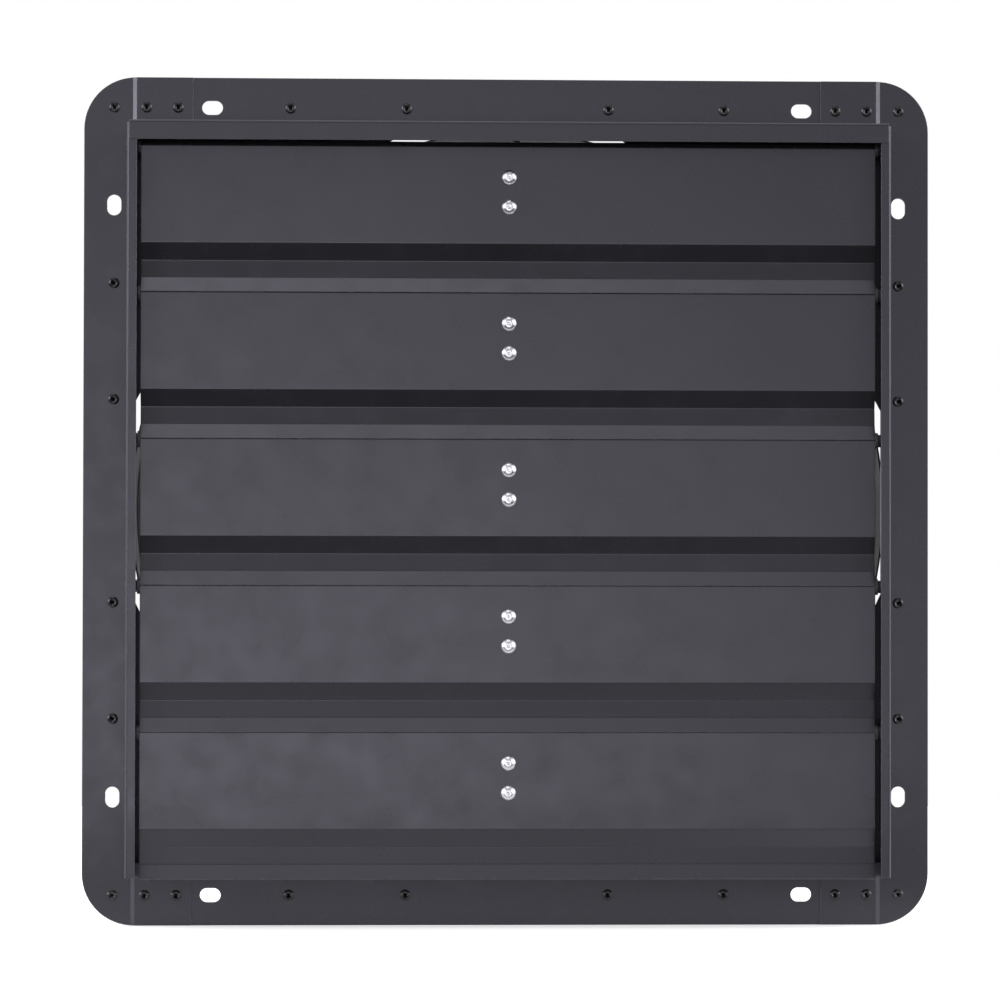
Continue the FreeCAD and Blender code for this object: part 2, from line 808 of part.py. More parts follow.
def tie_bar_pins():
    """Headed pins riveted into the tie bar, one through each louvre's ear."""
    head_end = ear_inner - link_side_gap
    head_start = head_end - link_head_width
    rivet_end = bar_end + link_head_width
    profile = [(0, head_start), (link_head_diameter / 2, head_start), (link_head_diameter / 2, head_end),
               (link_pin_diameter / 2, head_end), (link_pin_diameter / 2, bar_end),
               (link_head_diameter / 2, bar_end), (link_pin_diameter / 2, rivet_end), (0, rivet_end)]
    return Part.makeCompound([turned(profile, V(0, pivot_y + link_y, pivot_height(k) + link_z), V(1, 0, 0))
                              for k in range(louvre_count)])


# Rotor
def blade_frame(radius, turn):
    """Directions at a radius: along the blade's chord, and square to its face."""
    share = (radius - blade_root) / (drum_inner - tip_gap - blade_root)
    pitch = math.radians(root_pitch + (tip_pitch - root_pitch) * share)
    out = V(math.cos(turn), 0, math.sin(turn))
    around = V(-math.sin(turn), 0, math.cos(turn))
    chord = around * math.cos(pitch) + V(0, 1, 0) * math.sin(pitch)
    face = around * -math.sin(pitch) + V(0, 1, 0) * math.cos(pitch)
    return out, chord, face


def blade_section(radius, chord_length, offset, thickness, turn):
    """The outline of a curved blade or arm at a radius."""
    out, chord, face = blade_frame(radius, turn)
    middle = axis_point + out * radius + V(0, blade_middle, 0) - face * blade_curve
    half = math.asin(chord_length / 2 / blade_curve)

    def point(reach, angle):
        return middle + face * (reach * math.cos(angle)) + chord * (reach * math.sin(angle))

    inner = blade_curve + offset - thickness / 2
    outer = blade_curve + offset + thickness / 2
    edges = [Part.Arc(point(inner, -half), point(inner, 0), point(inner, half)).toShape(),
             Part.LineSegment(point(inner, half), point(outer, half)).toShape(),
             Part.Arc(point(outer, half), point(outer, 0), point(outer, -half)).toShape(),
             Part.LineSegment(point(outer, -half), point(inner, -half)).toShape()]
    return Part.Wire(edges)


def blade_turn(index):
    """The angle of a blade about the shaft."""
    return 2 * math.pi * index / blade_count + math.pi / 4


def blade_rivet_axes(index):
    """Start on the blade's face and direction of each rivet that holds a blade to its arm."""
    turn = blade_turn(index)
    axes = []
    for radius in blade_rivet_offsets:
        out, chord, face = blade_frame(radius, turn)
        middle = axis_point + out * radius + V(0, blade_middle, 0) - face * blade_curve
        for side in (-1, 1):
            angle = math.asin(side * blade_rivet_spread / blade_curve)
            normal = face * math.cos(angle) + chord * math.sin(angle)
            axes.append((middle + normal * (blade_curve - blade_sheet / 2), normal))
    return axes


def blade_rivet_cutters(index):
    """Holes for one blade's rivets."""
    radius = (blade_rivet_shank + rivet_clearance) / 2
    return [rod(radius, start - normal * hole_lead, normal, hole_run)
            for start, normal in blade_rivet_axes(index)]


def fan_blade(index):
    """A twisted, cambered sheet blade."""
    turn = blade_turn(index)
    tip = drum_inner - tip_gap
    sections = []
    for share in (0, 0.33, 0.67, 1):
        radius = blade_root + (tip - blade_root) * share
        chord = root_chord + (tip_chord - root_chord) * math.sin(share * math.pi / 2)
        sections.append(blade_section(radius, chord, 0, blade_sheet, turn))
    blade = Part.makeLoft(sections, True)
    inside = rod(tip, axis_point, V(0, 1, 0), drum_length)
    blade = blade.common(inside)
    return without(blade, blade_rivet_cutters(index))


def fan_hub():
    """The hub boss with one twisted arm behind each blade."""
    start = axis_point + V(0, blade_middle - hub_length / 2, 0)
    pieces = [rod(hub_diameter / 2, start, V(0, 1, 0), hub_length)]
    offset = (blade_sheet + arm_sheet) / 2 + arm_gap
    cutters = []
    for index in range(blade_count):
        radii = [hub_diameter / 2 - arm_root, blade_root, (blade_root + arm_reach) / 2, arm_reach]
        sections = [blade_section(radius, arm_chord, offset, arm_sheet, blade_turn(index))
                    for radius in radii]
        pieces.append(Part.makeLoft(sections, True))
        cutters += blade_rivet_cutters(index)
    bore = rod(shaft_diameter / 2 + shaft_fit, start - V(0, cut_margin, 0), V(0, 1, 0),
               hub_length + 2 * cut_margin)
    screw_hole = rod(set_screw_diameter / 2, axis_point + V(0, set_screw_height, 0), V(1, 0, 0), hub_diameter)
    return without(joined(pieces), cutters + [bore, screw_hole])


def hub_set_screw():
    """The screw that holds the hub on the shaft."""
    seat = shaft_diameter / 2 + shaft_fit
    start = axis_point + V(seat, set_screw_height, 0)
    length = hub_diameter / 2 - seat - set_screw_recess
    body = rod(set_screw_diameter / 2, start, V(1, 0, 0), length)
    reach = socket_across / 2
    hexagon = [start + V(length - socket_depth, reach * math.cos(a), reach * math.sin(a))
               for a in [math.radians(60 * k) for k in range(7)]]
    socket = Part.Face(Part.makePolygon(hexagon)).extrude(V(socket_depth + cut_margin, 0, 0))
    return body.cut(socket)


def blade_rivets():
    """Rivets between the blades and the arms, with heads that follow the curved sheets."""
    grip = blade_sheet + arm_gap + arm_sheet
    hub = fan_hub()
    pieces = []
    for index in range(blade_count):
        blade = fan_blade(index)
        for start, normal in blade_rivet_axes(index):
            plain = rivet(start, normal, grip, blade_rivet_head, blade_rivet_head_height,
                          blade_rivet_shank, blade_rivet_head, blade_rivet_head_height)
            pieces.append(plain.cut(blade).cut(hub))
    return Part.makeCompound(pieces)


# Motor
def motor_bell(front):
    """A cast end cover with a bearing seat, vents and four bolt ears."""
    y = motor_front if front else motor_rear
    inward_y = V(0, 1, 0) if front else V(0, -1, 0)
    start = V(axis_point.x, y, axis_point.z)
    outer = motor_radius
    inner = outer - bell_wall
    seat = bearing_outer / 2
    lip = seat - bearing_lip
    boss = seat + bearing_boss
    rim, depth = bell_shoulder
    profile = [(lip, 0), (outer - bell_dome, 0), (outer - rim, bell_wall, outer, depth), (outer, bell_depth),
               (inner, bell_depth), (inner, bell_hollow_depth),
               (outer - bell_fillet, bell_fillet, outer - bell_hollow_dome, bell_face), (boss, bell_face),
               (boss, bearing_seat), (seat, bearing_seat), (seat, bell_face), (lip, bell_face)]
    pieces = [turned(profile, start, inward_y)]
    for angle in bolt_angles:
        base = on_drum(ear_circle_radius, angle, y) + inward_y * (bell_depth - ear_thickness)
        pieces.append(rod(ear_radius, base, inward_y, ear_thickness))
        neck = Part.makeBox(ear_circle_radius - outer + ear_neck, ear_thickness, ear_radius * 2,
                            V(outer - ear_neck, 0, -ear_radius))
        neck.rotate(V(0, 0, 0), V(0, 1, 0), -angle)
        shift = bell_depth - ear_thickness if front else -bell_depth
        neck.translate(V(axis_point.x, y + shift, axis_point.z))
        pieces.append(neck.cut(rod(inner, start - V(0, bell_depth, 0), V(0, 1, 0), 2 * bell_depth)))
    bell = joined(pieces)
    cutters = [rod(bolt_hole_radius, on_drum(ear_circle_radius, a, y - bell_depth), V(0, 1, 0),
                   2 * bell_depth) for a in bolt_angles]
    vent_front = (y if front else y - bell_face) - cut_margin
    for k in range(vent_count):
        place = on_drum(vent_circle_radius, 360 / vent_count * k, vent_front)
        cutters.append(rod(vent_diameter / 2, place, V(0, 1, 0), bell_face + 2 * cut_margin))
    return without(bell, cutters)


def motor_shell():
    """The rolled steel sleeve between the two end covers."""
    start = V(axis_point.x, shell_front, axis_point.z)
    return tube(motor_radius, motor_radius - shell_sheet, start, V(0, 1, 0), shell_rear - shell_front)


def stator_core():
    """The laminated core with its slots, pressed into the shell."""
    start = V(axis_point.x, motor_middle - stator_length / 2, axis_point.z)
    core = tube(motor_radius - shell_sheet, stator_bore / 2, start, V(0, 1, 0), stator_length)
    slots = []
    for k in range(slot_count):
        slot = block((stator_bore / 2 - slot_lead_in, stator_bore / 2 + slot_depth),
                     (start.y - cut_margin, start.y + stator_length + cut_margin),
                     (-slot_opening / 2, slot_opening / 2))
        slot.rotate(V(0, 0, 0), V(0, 1, 0), 360 / slot_count * k)
        slot.translate(V(axis_point.x, 0, axis_point.z))
        slots.append(slot)
    return without(core, slots)


def stator_windings():
    """The two coil ends, one each side of the core."""
    rings = []
    inner = stator_bore / 2 + coil_inset
    outer = inner + coil_width
    middle = (outer + inner) / 2
    shoulder = winding_length * coil_shoulder_share
    for side in (-1, 1):
        start = V(axis_point.x, motor_middle + side * stator_length / 2, axis_point.z)
        profile = [(inner, 0), (inner, shoulder), (middle, winding_length, outer, shoulder), (outer, 0)]
        rings.append(turned(profile, start, V(0, side, 0)))
    return Part.makeCompound(rings)


def rotor_core():
    """The squirrel-cage core on the shaft."""
    start = V(axis_point.x, motor_middle - stator_length / 2, axis_point.z)
    return tube(stator_bore / 2 - air_gap, shaft_diameter / 2, start, V(0, 1, 0), stator_length)


def motor_shaft():
    """The shaft from the hub to the rear bearing."""
    front = blade_middle - hub_length / 2 - hub_front_stub
    rear = motor_rear + rear_shaft_stub
    start = V(axis_point.x, front, axis_point.z)
    radius = shaft_diameter / 2
    length = rear - front
    tip = radius - shaft_chamfer
    profile = [(0, 0), (tip, 0), (radius, shaft_chamfer), (radius, length - shaft_chamfer), (tip, length),
               (0, length)]
    return turned(profile, start, V(0, 1, 0))


def bearing(front):
    """A ball bearing: two races with a ring of balls between shields."""
    y = motor_front + bell_face if front else motor_rear - bell_face - bearing_width
    start = V(axis_point.x, y, axis_point.z)
    bore = shaft_diameter / 2 + running_fit
    outer = bearing_outer / 2
    inner_race = bore + bearing_race
    outer_race = outer - bearing_race
    sunk = bearing_width - shield_inset
    profile = [(bore, 0), (inner_race, 0), (inner_race, shield_inset), (outer_race, shield_inset),
               (outer_race, 0), (outer, 0), (outer, bearing_width), (outer_race, bearing_width),
               (outer_race, sunk), (inner_race, sunk), (inner_race, bearing_width), (bore, bearing_width)]
    return turned(profile, start, V(0, 1, 0))


def through_bolts():
    """Long bolts that clamp the motor together and hold it to the guard's plate, with their nuts."""
    length = plate_rear - ear_front + bolt_diameter * bolt_tail_share
    bolts = [bolt(on_drum(ear_circle_radius, a, ear_front), V(0, 1, 0), length, bolt_diameter)
             for a in bolt_angles]
    nuts = [bolt(on_drum(ear_circle_radius, a, plate_rear), V(0, -1, 0), 0, bolt_diameter, nut=True)
            for a in bolt_angles]
    return Part.makeCompound(bolts + nuts)


def mount_spacers():
    """Rubber sleeves between the motor's ears and the guard's plate."""
    length = plate_front - ear_rear
    return Part.makeCompound([tube(ear_radius - spacer_inset, bolt_hole_radius,
                                   on_drum(ear_circle_radius, a, ear_rear), V(0, 1, 0), length)
                              for a in bolt_angles])


# Guard
guard_ring_radius = drum_radius - rear_flange_width / 2
guard_angles = [360 / guard_rib_count * (k + 0.5) for k in range(guard_rib_count)]
rim_y = drum_rear + guard_tab_sheet
tab_inner = guard_ring_radius + guard_tab_overhang - guard_tab_length
rib_start = (tab_inner + guard_rib / 2, rim_y + guard_rib / 2)
rib_end = (guard_plate_radius - guard_rib, plate_rear + guard_rib / 2 - guard_weld)


def guard_screw_cutters():
    """Screw holes through the drum's rear flange and the guard's tabs."""
    radius = (guard_screw + screw_hole_clearance) / 2
    return [rod(radius, on_drum(guard_ring_radius, a, drum_rear - drum_sheet - cut_margin), V(0, 1, 0),
                drum_sheet + guard_tab_sheet + 2 * cut_margin) for a in guard_angles]


def wire_ring(radius, y, wire):
    """A closed ring of round wire about the fan's axis."""
    return Part.makeTorus(radius, wire / 2, V(axis_point.x, y, axis_point.z), V(0, 1, 0))


def rear_guard():
    """Welded wire guard: rings on straight ribs, with a plate that carries the motor."""
    slope = (rib_end[1] - rib_start[1]) / (rib_end[0] - rib_start[0])
    drop = (guard_rib + guard_wire) / 2 - guard_weld
    tilt = math.atan(slope)
    pieces = []
    ring_count = int((rib_start[0] - guard_plate_radius) / guard_ring_pitch) + 1
    for k in range(ring_count):
        radius = rib_start[0] - k * guard_ring_pitch
        y = rib_start[1] + (radius - rib_start[0]) * slope
        pieces.append(wire_ring(radius + drop * math.sin(tilt), y - drop * math.cos(tilt), guard_wire))
    for angle in guard_angles:
        start = on_drum(rib_start[0] + guard_rib, angle, rim_y + guard_rib / 2 - guard_weld)
        knee = on_drum(rib_start[0], angle, rib_start[1])
        end = on_drum(rib_end[0], angle, rib_end[1])
        pieces.append(rod(guard_rib / 2, knee, end - knee, (end - knee).Length))
        pieces.append(Part.makeSphere(guard_rib / 2, knee))
        pieces.append(rod(guard_rib / 2, knee, start - knee, (start - knee).Length))
        tab = Part.makeBox(guard_tab_length, guard_tab_sheet, guard_tab_width,
                           V(tab_inner, drum_rear, -guard_tab_width / 2))
        tab.rotate(V(0, 0, 0), V(0, 1, 0), -angle)
        tab.translate(V(axis_point.x, 0, axis_point.z))
        pieces.append(tab)
    plate_start = V(axis_point.x, plate_front, axis_point.z)
    plate = tube(guard_plate_radius, guard_plate_bore, plate_start, V(0, 1, 0), guard_plate_sheet)
    holes = [rod(bolt_hole_radius, on_drum(ear_circle_radius, a, plate_front - cut_margin), V(0, 1, 0),
                 guard_plate_sheet + 2 * cut_margin) for a in bolt_angles]
    guard = joined(pieces + [plate])
    return without(guard, holes + guard_screw_cutters())


def guard_screws():
    """Screws and nuts that hold the guard's tabs to the drum's rear flange."""
    length = guard_tab_sheet + drum_sheet + guard_screw
    seat = drum_rear + guard_tab_sheet
    screws = [screw(on_drum(guard_ring_radius, a, seat), V(0, -1, 0), length, guard_screw)
              for a in guard_angles]
    nuts = [bolt(on_drum(guard_ring_radius, a, drum_rear - drum_sheet), V(0, 1, 0), 0, guard_screw, nut=True)
            for a in guard_angles]
    return Part.makeCompound(screws + nuts)


# Terminal box
shell_bottom = axis_point.z - motor_radius
box_top = shell_bottom + terminal_saddle
box_bottom = shell_bottom - terminal_height
box_front_y = motor_middle - terminal_length / 2
box_rear_y = motor_middle + terminal_length / 2
box_left = axis_point.x - terminal_width / 2
box_right = axis_point.x + terminal_width / 2
lid_top = box_bottom + terminal_lid
gland_z = (lid_top + shell_bottom) / 2 - gland_drop
gland_neck = gland_diameter / 2 - gland_wall


def terminal_screw_places():
    """The lid's two screws, as (x, y)."""
    reach = terminal_width / 2 - cover_screw_inset
    return [(axis_point.x + side * reach, motor_middle) for side in (-1, 1)]


def terminal_box():
    """The junction box under the motor, with a saddle that fits the shell."""
    outer = block((box_left, box_right), (box_front_y, box_rear_y), (lid_top, box_top))
    wall = terminal_wall
    inner = block((box_left + wall, box_right - wall), (box_front_y + wall, box_rear_y - wall),
                  (lid_top - cut_margin, shell_bottom - wall))
    up = V(0, 0, 1)
    posts = [rod(post_radius, V(x, y, lid_top), up, post_height) for x, y in terminal_screw_places()]
    shell = rod(motor_radius, V(axis_point.x, box_front_y - cut_margin, axis_point.z), V(0, 1, 0),
                terminal_length + 2 * cut_margin)
    gland_hole = rod(gland_neck, V(axis_point.x, box_rear_y - wall - cut_margin, gland_z), V(0, 1, 0),
                     wall + 2 * cut_margin)
    holes = [rod(cover_screw / 2, V(x, y, lid_top - cut_margin), up, post_hole_depth + cut_margin)
             for x, y in terminal_screw_places()]
    walls = outer.cut(inner)
    return without(joined([walls] + posts), [shell, gland_hole] + holes)


def terminal_cover():
    """The junction box's lid."""
    lid = block((box_left, box_right), (box_front_y, box_rear_y), (box_bottom, lid_top))
    edges = [edge for edge in lid.Edges if abs(edge.tangentAt(edge.FirstParameter).z) > 0.9]
    lid = lid.makeFillet(lid_corner, edges)
    radius = cover_screw / 2 + cover_screw_clearance
    depth = terminal_lid + 2 * cut_margin
    return without(lid, [rod(radius, V(x, y, box_bottom - cut_margin), V(0, 0, 1), depth)
                         for x, y in terminal_screw_places()])


def cover_screws():
    """The lid's screws."""
    return Part.makeCompound([screw(V(x, y, box_bottom), V(0, 0, 1), cover_screw_length, cover_screw)
                              for x, y in terminal_screw_places()])


def cable_gland():
    """The empty cable inlet at the rear of the junction box."""
    outer = gland_diameter / 2
    bore = gland_bore / 2
    body = outer - gland_step
    inside = -terminal_wall - gland_wall
    profile = [(bore, inside), (gland_neck, inside), (gland_neck, 0), (outer, 0), (outer, gland_nut),
               (body, gland_nut), (body, gland_length - gland_nose), (bore + gland_lip, gland_length),
               (bore, gland_length)]
    return turned(profile, V(axis_point.x, box_rear_y, gland_z), V(0, 1, 0))


def run_capacitor():
    """The capacitor that lies against the box's roof."""
    radius = capacitor_diameter / 2
    start = V(axis_point.x - capacitor_length / 2, motor_middle - capacitor_shift,
              shell_bottom - terminal_wall - radius)
    return turned([(0, 0), (radius - capacitor_chamfer, 0), (radius, capacitor_chamfer),
                   (radius, capacitor_length), (0, capacitor_length)], start, V(1, 0, 0))


# Every piece, by name
pieces = {
    "side_rail_left": side_rail(-1),
    "side_rail_right": side_rail(1),
    "top_rail": top_rail(),
    "bottom_rail": bottom_rail(),
    "gusset_top_left": corner_gusset(-1, 1),
    "gusset_top_right": corner_gusset(1, 1),
    "gusset_bottom_left": corner_gusset(-1, -1),
    "gusset_bottom_right": corner_gusset(1, -1),
    "flange_rivets": flange_rivets(),
    "drum_rivets": drum_rivets(),
    "drum": drum(),
    "pivot_bushes": pivot_bushes(),
    "tie_bar": tie_bar(),
    "tie_bar_pins": tie_bar_pins(),
    "fan_hub": fan_hub(),
    "hub_set_screw": hub_set_screw(),
    "blade_rivets": blade_rivets(),
    "motor_shaft": motor_shaft(),
    "rotor_core": rotor_core(),
    "motor_front_bell": motor_bell(True),
    "motor_rear_bell": motor_bell(False),
    "motor_shell": motor_shell(),
    "stator_core": stator_core(),
    "stator_windings": stator_windings(),
    "front_bearing": bearing(True),
    "rear_bearing": bearing(False),
    "through_bolts": through_bolts(),
    "mount_spacers": mount_spacers(),
    "rear_guard": rear_guard(),
    "guard_screws": guard_screws(),
    "terminal_box": terminal_box(),
    "terminal_cover": terminal_cover(),
    "cover_screws": cover_screws(),
    "cable_gland": cable_gland(),
    "run_capacitor": run_capacitor(),
}
for number in range(louvre_count):
    pieces[f"louvre_{number + 1}"] = louvre(number)
    pieces[f"louvre_{number + 1}_end_plugs"] = end_plugs(number)
    pieces[f"louvre_{number + 1}_rivets"] = louvre_rivets(number)
    pieces[f"louvre_{number + 1}_link_bracket"] = link_bracket(number)
for number in range(blade_count):
    pieces[f"fan_blade_{number + 1}"] = fan_blade(number)

os.makedirs("parts", exist_ok=True)
for name, shape in pieces.items():
    shape.exportStep(f"parts/{name}.step")
    print(name, len(shape.Solids), round(shape.Volume, 1), shape.isValid())
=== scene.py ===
"""Looks of a wall-mounted shutter exhaust fan: paint, metal, light, floor and camera.

Lengths are in metres, angles in degrees, and colours are linear.
"""
import math

import bpy
from mathutils import Matrix, Vector


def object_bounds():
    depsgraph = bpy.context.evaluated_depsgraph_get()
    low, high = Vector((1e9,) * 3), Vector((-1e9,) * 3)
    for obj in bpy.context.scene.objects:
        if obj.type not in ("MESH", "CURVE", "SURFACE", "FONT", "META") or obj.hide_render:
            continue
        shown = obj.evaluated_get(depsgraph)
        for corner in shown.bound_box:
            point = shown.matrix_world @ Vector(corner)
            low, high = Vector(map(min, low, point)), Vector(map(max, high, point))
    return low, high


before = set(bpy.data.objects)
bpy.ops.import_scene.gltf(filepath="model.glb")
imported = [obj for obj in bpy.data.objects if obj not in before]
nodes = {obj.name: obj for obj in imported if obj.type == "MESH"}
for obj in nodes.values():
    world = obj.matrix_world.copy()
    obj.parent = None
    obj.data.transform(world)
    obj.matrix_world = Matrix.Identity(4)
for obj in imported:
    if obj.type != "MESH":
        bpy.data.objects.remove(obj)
cad_low, cad_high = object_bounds()

# The viewpoint of the photograph. The focal length is a share of the frame's width.
camera_place = Vector((-0.0909, -2.4258, -0.0394))
camera_yaw = 2.048
camera_pitch = -0.953
camera_roll = 0.104
camera_focal_share = 4.0213
sensor_width = 36.0

# The studio's lamps: azimuth (0 is behind the camera, 90 to the right), elevation,
# spread and brightness.
studio_lamps = [
    (-4.0, -7.5, 8.5, 3.15),
    (-10.0, 64.0, 9.0, 2.6),
    (-45.0, 14.0, 7.5, 13.0),
    (45.0, 14.0, 7.5, 11.0),
    (-100.0, 16.0, 17.0, 6.0),
    (100.0, 16.0, 17.0, 8.0),
]
# The room's own light: above and below the horizon, and what the wall behind the object
# adds. The ramps between them have a slope, and a height at the middle of the room.
studio_above = 0.36
studio_below = 0.06
studio_behind = 0.7
studio_tint = (0.97, 0.96, 1.0)
above_ramp = (4.0, 0.9)
behind_ramp = (6.0, 0.5)
plain_white = (1.0, 1.0, 1.0)

# The floor reaches from floor_front before the wall's face to floor_back behind it. Its
# white fades to floor_far between the two places of floor_fade, except to the camera.
# floor_lift is the light of its own that keeps it white there.
floor_front = 0.45
floor_back = 1.2
floor_half_width = 0.9
floor_white = 0.8
floor_far = 0.08
floor_fade = (-0.30, 0.0)
floor_lift = 0.45

# The black paint's sheen, the dust on it, and the painted highlight along its sharp edges.
paint_sheen = (0.90, 0.88, 1.0)
paint_dust = (0.20, 0.19, 0.2)
paint_edge_highlight = (0.22, 0.21, 0.24)
edge_highlight_strength = 0.5

# The black rivets' scuffs, and the painted shade in their bores: a near-black colour that
# reaches about as deep as the reach says.
rivet_scuff = (0.05, 0.05, 0.055)
rivet_bore_shade = (0.001, 0.001, 0.001)
rivet_shade_reach = 0.002


class Graph:
    """A node tree, with one short call for each kind of node that is used here."""

    def __init__(self, owner):
        owner.use_nodes = True
        self.tree = owner.node_tree
        self.tree.nodes.clear()

    def add(self, kind):
        return self.tree.nodes.new(kind)

    def join(self, source, target):
        self.tree.links.new(source, target)

    def put(self, value, socket):
        """Joins another node's output to a socket, or sets it to a number, vector or colour."""
        if isinstance(value, bpy.types.NodeSocket):
            self.join(value, socket)
        elif isinstance(value, tuple):
            socket.default_value = (*value, 1.0)
        else:
            socket.default_value = value

    def value(self, operation, *values):
        node = self.add("ShaderNodeMath")
        node.operation = operation
        for value, socket in zip(values, node.inputs):
            self.put(value, socket)
        return node.outputs[0]

    def ramp(self, source, slope, middle):
        """A straight rise that is cut off below 0 and above 1."""
        height = self.value("MULTIPLY_ADD", source, slope, middle)
        height.node.use_clamp = True
        return height

    def remap(self, source, low, high, to_low=0.0, to_high=1.0):
        node = self.add("ShaderNodeMapRange")
        for value, socket in zip((source, low, high, to_low, to_high), node.inputs):
            self.put(value, socket)
        return node.outputs[0]

    def dot(self, first, second):
        node = self.add("ShaderNodeVectorMath")
        node.operation = "DOT_PRODUCT"
        self.put(first, node.inputs[0])
        self.put(second, node.inputs[1])
        return node.outputs["Value"]

    def along(self, axis, vector):
        node = self.add("ShaderNodeSeparateXYZ")
        self.join(vector, node.inputs[0])
        return node.outputs[axis]

    def rays(self, share):
        """1 where the camera sees a surface, and a share of it in what mirrors it."""
        path = self.add("ShaderNodeLightPath").outputs
        mirrored = self.value("MAXIMUM", path["Is Glossy Ray"], path["Is Transmission Ray"])
        return self.value("MAXIMUM", path["Is Camera Ray"], self.value("MULTIPLY", mirrored, share))


class Finish(Graph):
    """A material of one shader, with the textures that feed it."""

    def __init__(self, name):
        self.material = bpy.data.materials.new(name)
        super().__init__(self.material)
        self.shader = self.add("ShaderNodeBsdfPrincipled")
        output = self.add("ShaderNodeOutputMaterial")
        self.join(self.shader.outputs[0], output.inputs[0])
        self.place = self.add("ShaderNodeTexCoord").outputs["Object"]

    def look(self, **values):
        """Sets or feeds the shader's sockets, named with _ for a space."""
        for name, value in values.items():
            self.put(value, self.shader.inputs[name.replace("_", " ")])

    def noise(self, per_metre, detail=3.0, roughness=0.5, stretch=(1, 1, 1)):
        mapping = self.add("ShaderNodeMapping")
        mapping.inputs["Scale"].default_value = stretch
        self.join(self.place, mapping.inputs["Vector"])
        texture = self.add("ShaderNodeTexNoise")
        texture.inputs["Scale"].default_value = per_metre
        texture.inputs["Detail"].default_value = detail
        texture.inputs["Roughness"].default_value = roughness
        self.join(mapping.outputs[0], texture.inputs["Vector"])
        return texture.outputs["Fac"]

    def specks(self, per_metre, size):
        """1 inside small round specks and 0 between them."""
        texture = self.add("ShaderNodeTexVoronoi")
        texture.inputs["Scale"].default_value = per_metre
        self.join(self.place, texture.inputs["Vector"])
        return self.remap(texture.outputs["Distance"], size, size * 0.6)

    def blend(self, factor, first, second):
        """A colour between two, each a colour or another node's output."""
        node = self.add("ShaderNodeMix")
        node.data_type = "RGBA"
        self.join(factor, node.inputs["Factor"])
        self.put(first, node.inputs[6])
        self.put(second, node.inputs[7])
        return node.outputs[2]

    def rounded_edges(self, radius):
        node = self.add("ShaderNodeBevel")
        node.samples = 6
        node.inputs["Radius"].default_value = radius
        return node.outputs[0]

    def painted_edge_highlight(self, rounded, amount):
        """How much painted highlight lightens the colour: along sharp edges, and unevenly."""
        flat = self.add("ShaderNodeNewGeometry").outputs["Normal"]
        edge = self.remap(self.dot(rounded, flat), 0.995, 0.85, 0.0, amount)
        return self.value("MULTIPLY", edge, self.remap(self.noise(160.0), 0.3, 0.6, 0.35, 1.0))

    def bump(self, height, depth, strength, normal=None):
        node = self.add("ShaderNodeBump")
        node.inputs["Strength"].default_value = strength
        node.inputs["Distance"].default_value = depth
        self.join(height, node.inputs["Height"])
        if normal:
            self.join(normal, node.inputs["Normal"])
        return node.outputs[0]


def shade(colour, factor):
    return tuple(c * factor for c in colour)


def powder_coat(name, colour, roughness, edge=0.0005, shine=0.5):
    """Satin black powder coat: orange peel, slight clouding, a little dust, painted edge
    highlights.
    """
    g = Finish(name)
    rounded = g.rounded_edges(edge)
    clouds = g.remap(g.noise(9.0, 4.0), 0.3, 0.7)
    dust = g.remap(g.noise(30.0), 0.55, 0.66, 0.0, 0.25)
    motes = g.value("MULTIPLY", g.specks(420.0, 0.10), dust)
    clean = g.blend(clouds, shade(colour, 0.88), shade(colour, 1.12))
    dusty = g.blend(motes, clean, paint_dust)
    # The colour is lighter along sharp edges: a painted highlight, uneven along them.
    g.look(
        Base_Color=g.blend(g.painted_edge_highlight(rounded, edge_highlight_strength), dusty, paint_edge_highlight),
        Roughness=g.remap(g.noise(55.0, 5.0), 0.25, 0.75, roughness - 0.04, roughness + 0.05),
        Normal=g.bump(g.noise(900.0, 2.0), 0.00003, 0.4, rounded),
        IOR=1.6, Specular_Tint=paint_sheen, Specular_IOR_Level=shine)
    return g.material


def blackened_rivet(name, colour, roughness):
    """A glossy black rivet head whose bore, where the mandrel broke off, gets painted shade:
    near-black and dull.
    """
    g = Finish(name)
    open_sky = g.add("ShaderNodeAmbientOcclusion")
    open_sky.inputs["Distance"].default_value = rivet_shade_reach
    open_sky.only_local = True
    # Painted shade: where the bore is hemmed in within the reach, the colour turns near-black and
    # dull.
    bore_shade = g.remap(open_sky.outputs["AO"], 0.85, 0.6)
    scuffs = g.remap(g.noise(700.0), 0.45, 0.7, 0.0, 0.25)
    g.look(
        Base_Color=g.blend(bore_shade, g.blend(scuffs, colour, rivet_scuff), rivet_bore_shade),
        Roughness=g.remap(bore_shade, 0.0, 1.0, roughness, 0.95),
        Normal=g.bump(g.noise(1500.0, 2.0), 0.00002, 0.5, g.rounded_edges(0.00012)))
    return g.material


def moulded(name, colour, roughness):
    """Moulded plastic with a fine grain."""
    g = Finish(name)
    patches = g.remap(g.noise(40.0), 0.3, 0.7)
    g.look(
        Base_Color=g.blend(patches, shade(colour, 0.85), shade(colour, 1.15)),
        Roughness=g.remap(g.noise(120.0), 0.3, 0.7, roughness - 0.06, roughness + 0.06),
        Normal=g.bump(g.noise(1600.0, 2.0), 0.00004, 0.5, g.rounded_edges(0.0003)))
    return g.material


def bare_metal(name, colour, roughness, stretch=(1, 1, 1), lines=900.0):
    """Bare metal with fine drawn or brushed lines and dull patches."""
    g = Finish(name)
    patches = g.remap(g.noise(60.0, 4.0), 0.35, 0.7)
    drawn = g.noise(lines, 3.0, 0.6, stretch)
    g.look(
        Base_Color=g.blend(patches, shade(colour, 0.86), colour),
        Roughness=g.remap(drawn, 0.25, 0.75, roughness - 0.07, roughness + 0.1),
        Normal=g.bump(drawn, 0.000015, 0.6, g.rounded_edges(0.0003)),
        Metallic=1.0)
    return g.material


